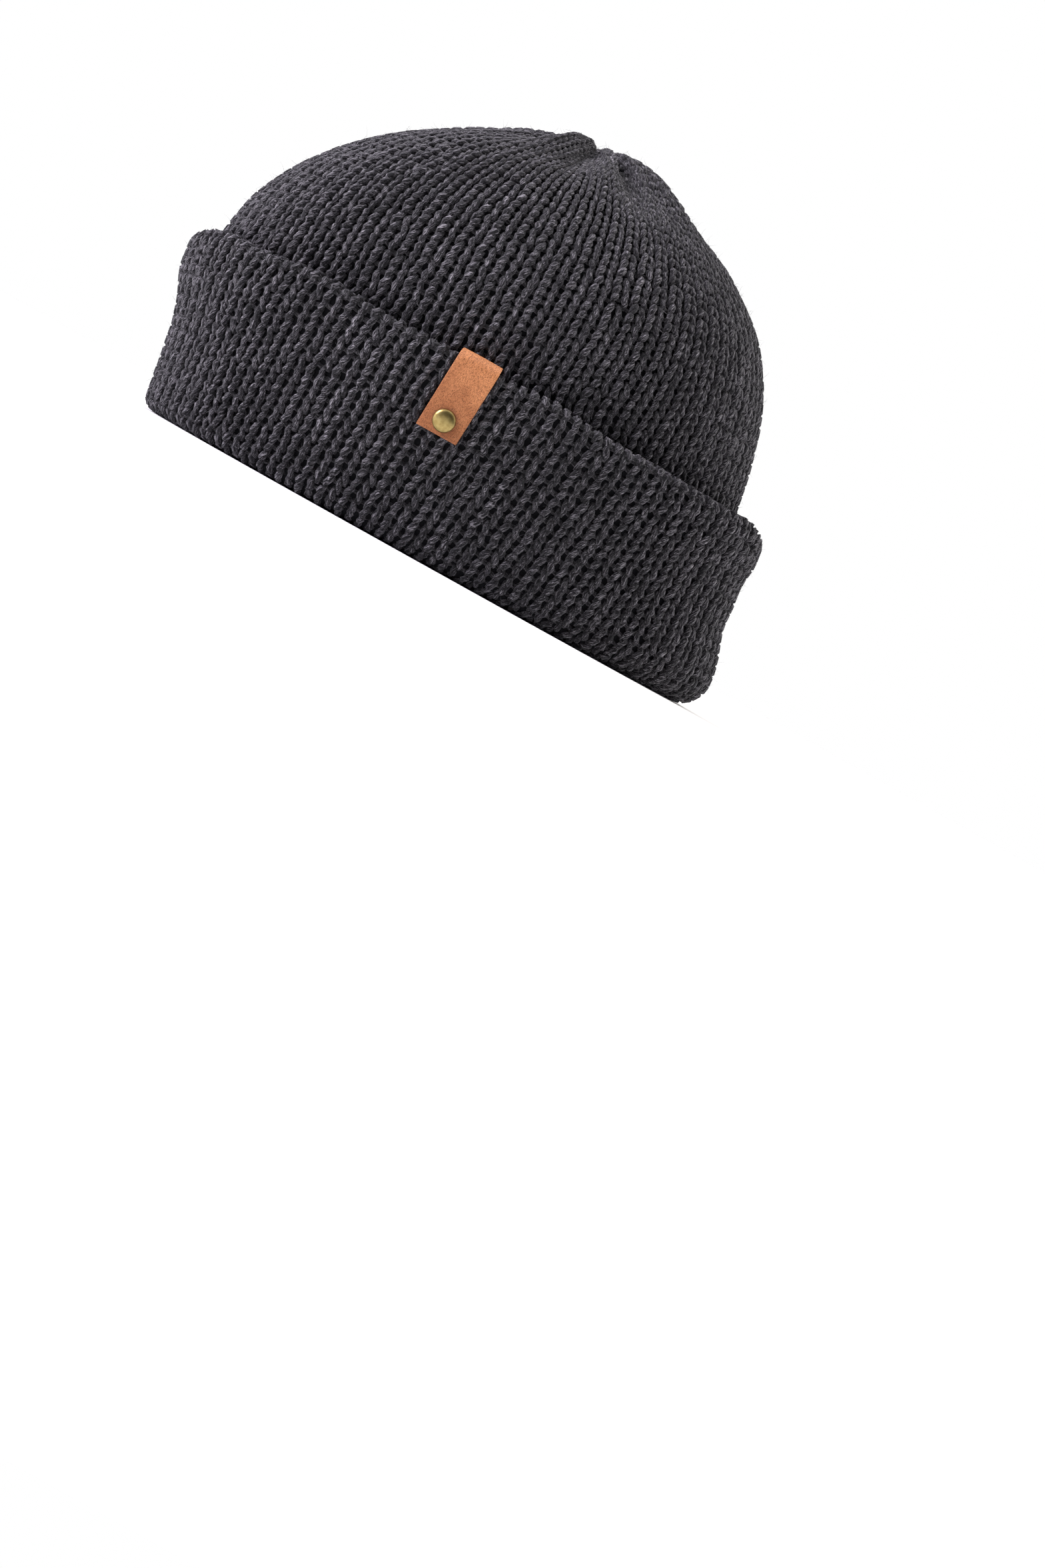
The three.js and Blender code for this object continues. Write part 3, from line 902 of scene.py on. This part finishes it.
def cuff_normal(bearing, along):
    step = 0.01
    turned = math.radians(step)
    aside = cuff_face(bearing + turned, along) - cuff_face(bearing - turned, along)
    upward = cuff_face(bearing, along - step) - cuff_face(bearing, along + step)
    normal = np.cross(aside, upward)
    return normal / np.linalg.norm(normal, axis=-1, keepdims=True)


rivet_spot = cuff_face(np.array([tab_bearing]), np.array([rivet_along]))[0]
tab_reach = math.hypot(rivet_spot[0] - axis_x, rivet_spot[1] - axis_y)


def tab_place(across, along, out):
    lean = np.abs(along) * math.tan(tab_lean)
    bearing = tab_bearing + (across - lean) / tab_reach
    return cuff_face(bearing, along) + cuff_normal(bearing, along) * out[:, None]


bpy.ops.object.select_all(action="DESELECT")
bpy.ops.mesh.primitive_cube_add(size=1)
tab = bpy.context.active_object
tab.name = "leather_strip"
tab.data.transform(Matrix.Diagonal((tab_width, 2 * tab_length, leather, 1)))
bpy.ops.object.mode_set(mode="EDIT")
bpy.ops.mesh.select_all(action="SELECT")
bpy.ops.mesh.bevel(offset=tab_edge_round, segments=3, affect="EDGES")
for cut in np.linspace(-tab_length, tab_length, tab_cuts_along)[1:-1]:
    bpy.ops.mesh.select_all(action="SELECT")
    bpy.ops.mesh.bisect(plane_co=(0, float(cut), 0), plane_no=(0, 1, 0))
for cut in np.linspace(-tab_width / 2, tab_width / 2, tab_cuts_across)[1:-1]:
    bpy.ops.mesh.select_all(action="SELECT")
    bpy.ops.mesh.bisect(plane_co=(float(cut), 0, 0), plane_no=(1, 0, 0))
bpy.ops.mesh.select_all(action="SELECT")
bpy.ops.mesh.remove_doubles(threshold=0.001)
bpy.ops.object.mode_set(mode="OBJECT")
flat = np.zeros(len(tab.data.vertices) * 3)
tab.data.vertices.foreach_get("co", flat)
flat = flat.reshape(-1, 3)
flat_place = tab.data.attributes.new("flat_place", "FLOAT_VECTOR", "POINT")
flat_place.data.foreach_set("vector", flat.reshape(-1).astype(np.float32))
bent = tab_place(flat[:, 0], -flat[:, 1], clearance + leather / 2 + flat[:, 2])
tab.data.vertices.foreach_set("co", (bent * 0.001).reshape(-1).astype(np.float32))
tab.data.update()
bpy.ops.object.shade_smooth_by_angle(angle=math.radians(50))

tan_leather = bpy.data.materials.new("tan_leather")
tan_leather.use_nodes = True
tree = tan_leather.node_tree
shader = tree.nodes["Principled BSDF"]
shader.inputs["Roughness"].default_value = 0.5
shader.inputs["Specular IOR Level"].default_value = 0.4
place_node = tree.nodes.new("ShaderNodeAttribute")
place_node.attribute_name = "flat_place"
grain_stretch = tree.nodes.new("ShaderNodeVectorMath")
grain_stretch.operation = "MULTIPLY"
grain_stretch.inputs[1].default_value = (2.1, 1.0, 1.0)
tree.links.new(place_node.outputs["Vector"], grain_stretch.inputs[0])
grain = tree.nodes.new("ShaderNodeTexNoise")
grain.inputs["Scale"].default_value = 1.7
grain.inputs["Detail"].default_value = 2.0
grain.inputs["Roughness"].default_value = 0.7
grain.inputs["Distortion"].default_value = 1.0
tree.links.new(grain_stretch.outputs["Vector"], grain.inputs["Vector"])
grain_ramp = tree.nodes.new("ShaderNodeValToRGB")
grain_ramp.color_ramp.elements[0].position = 0.38
grain_ramp.color_ramp.elements[0].color = (0.3, 0.11, 0.039, 1)
grain_ramp.color_ramp.elements[1].position = 0.56
grain_ramp.color_ramp.elements[1].color = (0.74, 0.308, 0.122, 1)
tree.links.new(grain.outputs["Fac"], grain_ramp.inputs["Fac"])
patch = tree.nodes.new("ShaderNodeTexNoise")
patch.inputs["Scale"].default_value = 0.14
patch.inputs["Detail"].default_value = 2.0
tree.links.new(place_node.outputs["Vector"], patch.inputs["Vector"])
patch_and_highlight_mix = tree.nodes.new("ShaderNodeMix")
patch_and_highlight_mix.data_type = "RGBA"
patch_and_highlight_mix.blend_type = "MULTIPLY"
patch_range = tree.nodes.new("ShaderNodeMapRange")
patch_range.inputs["From Min"].default_value = 0.35
patch_range.inputs["From Max"].default_value = 0.65
tree.links.new(patch.outputs["Fac"], patch_range.inputs["Value"])
# Paler over the fold and along one side of it: painted highlight where the strip catches the light, partly
# also leather paled by stretching over the fold
strip_parts = tree.nodes.new("ShaderNodeSeparateXYZ")
tree.links.new(place_node.outputs["Vector"], strip_parts.inputs[0])
side_slope = -0.9
patch_part = 0.35
stretch_and_highlight_part = 0.65
from_fold = math_node(tree, "ABSOLUTE", strip_parts.outputs["Y"], None)
from_side = math_node(tree, "MULTIPLY", strip_parts.outputs["X"], side_slope)
stretch_and_highlight_falloff = tree.nodes.new("ShaderNodeMapRange")
stretch_and_highlight_falloff.inputs["From Min"].default_value = 1.0
stretch_and_highlight_falloff.inputs["From Max"].default_value = 20.0
tree.links.new(math_node(tree, "ADD", from_fold, from_side), stretch_and_highlight_falloff.inputs["Value"])
patch_share = math_node(tree, "MULTIPLY", patch_range.outputs[0], patch_part)
stretch_and_highlight_share = math_node(tree, "MULTIPLY", stretch_and_highlight_falloff.outputs[0], stretch_and_highlight_part)
tree.links.new(math_node(tree, "ADD", patch_share, stretch_and_highlight_share), patch_and_highlight_mix.inputs["Factor"])
tree.links.new(grain_ramp.outputs["Color"], patch_and_highlight_mix.inputs["A"])
patch_and_highlight_mix.inputs["B"].default_value = (0.45, 0.34, 0.23, 1)
tree.links.new(patch_and_highlight_mix.outputs["Result"], shader.inputs["Base Color"])
grain_bump = tree.nodes.new("ShaderNodeBump")
grain_bump.inputs["Strength"].default_value = 0.7
grain_bump.inputs["Distance"].default_value = 0.00015
tree.links.new(grain.outputs["Fac"], grain_bump.inputs["Height"])
tree.links.new(grain_bump.outputs["Normal"], shader.inputs["Normal"])
tab.data.materials.append(tan_leather)
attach(tab, "root")
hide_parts("leather_tab")

# Rivet. A small antique-brass rivet through the tab: a smooth low dome on the
# leather's front leg, pressed onto the pin of a flat base behind the cuff.

cap_radius = 4.0
cap_height = 1.9
rim_depth = 0.24
dome_steps = 12
bpy.ops.object.select_all(action="DESELECT")
bpy.ops.mesh.primitive_cylinder_add(vertices=64, radius=cap_radius, depth=rim_depth)
cap = bpy.context.active_object
cap.name = "rivet_dome"
bpy.ops.object.mode_set(mode="EDIT")
bpy.ops.mesh.select_mode(type="FACE")
bpy.ops.mesh.select_all(action="DESELECT")
bpy.ops.object.mode_set(mode="OBJECT")
for face in cap.data.polygons:
    face.select = face.normal.z > 0.9
bpy.ops.object.mode_set(mode="EDIT")
last_radius, last_height = cap_radius, 0.0
for step in range(1, dome_steps + 1):
    turn = math.radians(88) * step / dome_steps
    ring_radius = cap_radius * math.cos(turn) ** 0.8
    ring_height = (cap_height - rim_depth) * math.sin(turn) ** 0.85
    bpy.ops.mesh.extrude_region_move(TRANSFORM_OT_translate={"value": (0, 0, ring_height - last_height)})
    share = ring_radius / last_radius
    bpy.ops.transform.resize(value=(share, share, 1), center_override=(0, 0, 0))
    last_radius, last_height = ring_radius, ring_height
bpy.ops.object.mode_set(mode="OBJECT")
rivet_bearing = tab_bearing - rivet_along * math.tan(tab_lean) / tab_reach
rim_normal = cuff_normal(np.array([rivet_bearing]), np.array([rivet_along]))[0]
rivet_seat = tab_place(np.array([0.0]), np.array([rivet_along]), np.array([0.0]))[0]
cap_low = clearance + leather + clearance
turn_out = Vector((0, 0, 1)).rotation_difference(Vector(rim_normal)).to_matrix().to_4x4()
lift = Matrix.Translation((0, 0, cap_low + rim_depth / 2))
cap.data.transform(Matrix.Scale(0.001, 4) @ Matrix.Translation(Vector(rivet_seat)) @ turn_out @ lift)
bpy.ops.object.shade_smooth_by_angle(angle=math.radians(40))

antique_brass = bpy.data.materials.new("antique_brass")
antique_brass.use_nodes = True
tree = antique_brass.node_tree
shader = tree.nodes["Principled BSDF"]
shader.inputs["Metallic"].default_value = 1.0
coords = tree.nodes.new("ShaderNodeTexCoord")
tarnish = tree.nodes.new("ShaderNodeTexNoise")
tarnish.inputs["Scale"].default_value = 900
tarnish.inputs["Detail"].default_value = 3.0
tree.links.new(coords.outputs["Object"], tarnish.inputs["Vector"])
tarnish_ramp = tree.nodes.new("ShaderNodeValToRGB")
tarnish_ramp.color_ramp.elements[0].position = 0.35
tarnish_ramp.color_ramp.elements[0].color = (0.29, 0.213, 0.078, 1)
tarnish_ramp.color_ramp.elements[1].position = 0.62
tarnish_ramp.color_ramp.elements[1].color = (0.37, 0.285, 0.112, 1)
tree.links.new(tarnish.outputs["Fac"], tarnish_ramp.inputs["Fac"])
tree.links.new(tarnish_ramp.outputs["Color"], shader.inputs["Base Color"])
rough_range = tree.nodes.new("ShaderNodeMapRange")
rough_range.inputs["To Min"].default_value = 0.4
rough_range.inputs["To Max"].default_value = 0.32
tree.links.new(tarnish.outputs["Fac"], rough_range.inputs["Value"])
tree.links.new(rough_range.outputs[0], shader.inputs["Roughness"])
cap.data.materials.append(antique_brass)
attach(cap, "root")
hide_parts("rivet_cap")

# The base is the solid itself, which takes the same brass
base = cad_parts["rivet_base"]
base.data.materials.clear()
base.data.materials.append(antique_brass)

# Floor and light. A plain white floor under a white studio sky, one broad cool
# soft box ahead of the cap and above it, and a weaker warm one over its back.

bpy.ops.object.select_all(action="DESELECT")
bpy.ops.mesh.primitive_plane_add(size=40)
floor = bpy.context.active_object
floor.name = "floor"
floor_paint = bpy.data.materials.new("white_floor")
floor_paint.use_nodes = True
floor_shader = floor_paint.node_tree.nodes["Principled BSDF"]
floor_shader.inputs["Base Color"].default_value = (0.97, 0.97, 0.97, 1)
floor_shader.inputs["Roughness"].default_value = 0.9
floor_shader.inputs["Specular IOR Level"].default_value = 0.1
floor.data.materials.append(floor_paint)

# The sky is brighter overhead and dark on the side that the cap is seen from
sky = bpy.data.worlds.new("studio_white")
sky.use_nodes = True
sky_light = sky.node_tree.nodes["Background"]
sky_light.inputs["Color"].default_value = (1, 1, 1, 1)
sky_way = sky.node_tree.nodes.new("ShaderNodeTexCoord")
sky_parts = sky.node_tree.nodes.new("ShaderNodeSeparateXYZ")
overhead = sky.node_tree.nodes.new("ShaderNodeMapRange")
overhead.interpolation_type = "SMOOTHSTEP"
overhead.inputs["From Min"].default_value = 0.3
overhead.inputs["From Max"].default_value = 1.0
overhead.inputs["To Min"].default_value = 1.0
overhead.inputs["To Max"].default_value = 1.7
near_side = sky.node_tree.nodes.new("ShaderNodeMapRange")
near_side.interpolation_type = "SMOOTHSTEP"
near_side.inputs["From Min"].default_value = -0.05
near_side.inputs["From Max"].default_value = 0.8
near_side.inputs["To Min"].default_value = 1.0
near_side.inputs["To Max"].default_value = 0.03
sky.node_tree.links.new(sky_way.outputs["Generated"], sky_parts.inputs[0])
sky.node_tree.links.new(sky_parts.outputs["Z"], overhead.inputs["Value"])
sky.node_tree.links.new(sky_parts.outputs["X"], near_side.inputs["Value"])
sky_strength = math_node(sky.node_tree, "MULTIPLY", overhead.outputs[0], near_side.outputs[0])
sky.node_tree.links.new(sky_strength, sky_light.inputs["Strength"])
bpy.context.scene.world = sky
bpy.context.scene.view_settings.view_transform = "Standard"

# Soft boxes: name, place, side, power, tint
lit_spot = Vector((0, 0, 0.08))
for name, spot, side, power, tint in [
    ("front_softbox", (0.45, -1.3, 0.75), 0.8, 32.0, (0.95, 0.9, 1.0)),
    ("back_softbox", (-0.6, 0.9, 1.3), 0.9, 11.0, (1.0, 0.93, 0.86)),
]:
    lamp_data = bpy.data.lights.new(name, "AREA")
    lamp_data.shape = "SQUARE"
    lamp_data.size = side
    lamp_data.energy = power
    lamp_data.color = tint
    lamp = bpy.data.objects.new(name, lamp_data)
    bpy.context.scene.collection.objects.link(lamp)
    lamp.location = spot
    lamp.rotation_euler = (lit_spot - Vector(spot)).to_track_quat("-Z", "Y").to_euler()

# Camera. It stands off the wearer's left side, a little above the floor, and is
# rolled so that the cap leans in the frame as it does in the photograph.

lens = 97.6
film_height = 36.0
roll = math.radians(29)
camera_place = Vector((1.5, 0.077, 0.012))

# A point of the cap, and the pixel of the whole frame that it falls on
aim_point = Vector((-0.0017, -0.0076, 0.051))
aim_pixel = (680, 620)
frame_pixels = (1568, 2352)

camera_data = bpy.data.cameras.new("camera")
camera_data.lens = lens
camera_data.sensor_width = film_height
camera = bpy.data.objects.new("camera", camera_data)
bpy.context.scene.collection.objects.link(camera)
bpy.context.scene.camera = camera
focal_pixels = frame_pixels[1] * lens / film_height
aim_right = (aim_pixel[0] - frame_pixels[0] / 2) / focal_pixels
aim_up = (frame_pixels[1] / 2 - aim_pixel[1]) / focal_pixels
frame_right = Vector((0, math.cos(roll), math.sin(roll)))
frame_up = Vector((0, -math.sin(roll), math.cos(roll)))
frame_back = Vector((1, 0, 0))
seen = (-frame_back + frame_right * aim_right + frame_up * aim_up).normalized()
swing = seen.rotation_difference((aim_point - camera_place).normalized())
upright = Matrix((frame_right, frame_up, frame_back)).transposed()
camera.rotation_mode = "QUATERNION"
camera.rotation_quaternion = swing @ upright.to_quaternion()
camera.location = camera_place
camera_data.clip_start = 0.05
camera_data.clip_end = 60
